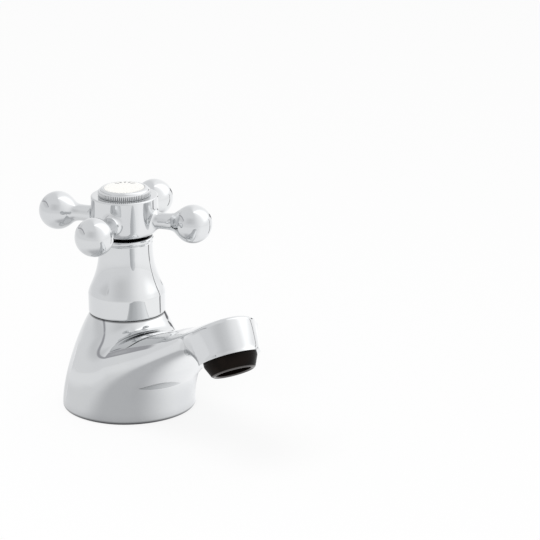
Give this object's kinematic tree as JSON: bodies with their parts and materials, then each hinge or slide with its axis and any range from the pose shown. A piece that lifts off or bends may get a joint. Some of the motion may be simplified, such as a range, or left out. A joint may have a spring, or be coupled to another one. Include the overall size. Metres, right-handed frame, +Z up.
{
  "type": "pillar tap",
  "caption": "Deck-mounted basin pillar tap with a cross handle, bell shroud, rising spout with a black nozzle, threaded tail and compression valve.",
  "frame": {"origin": "middle of the round base, in the plane where it stands on the deck", "axes": "+Z up along the spindle and the tail, +X along the spout"},
  "size_m": [0.1209, 0.0558, 0.1313],
  "materials": {
    "chrome": "polished chromium plate",
    "brass": "machined brass",
    "rubber": "moulded rubber",
    "black_plastic": "satin moulded plastic",
    "white_index": "glossy enamel white",
    "steel": "bright steel",
    "fibre": "red vulcanised fibre",
    "white_plastic": "natural acetal"
  },
  "bodies": {
    "root": {"tap_body": "chrome", "tail_shank": "brass", "tail_seal": "rubber", "base_gasket": "rubber", "back_nut": "brass", "back_nut_washer": "fibre", "headgear_body": "brass", "headgear_washer": "fibre", "thrust_washer": "white_plastic", "bell_shroud": "chrome", "spout_nozzle": "black_plastic", "nozzle_seal": "rubber", "flow_straightener": "white_plastic"},
    "handle": {"spindle": "brass", "spindle_o_rings": "rubber", "circlip": "steel", "spline_bush": "white_plastic", "cross_handle": "chrome", "handle_screw": "steel", "index_ring": "chrome", "index_disc": "white_index"},
    "valve": {"valve_carrier": "brass", "tap_washer": "rubber", "washer_nut": "brass"}
  },
  "joints": [
    {"name": "handle_turn", "type": "hinge", "parent": "root", "child": "handle", "pos_m": [0, 0, 0.07], "axis": [0, 0, 1], "range_deg": [0, 765]},
    {"name": "valve_lift", "type": "slide", "parent": "root", "child": "valve", "axis": [0, 0, 1], "range_m": [0, 0.00425]}
  ],
  "couplings": [
    {"joint": "valve_lift", "follows": "handle_turn", "m_per_rad": 0.0003183}
  ]
}
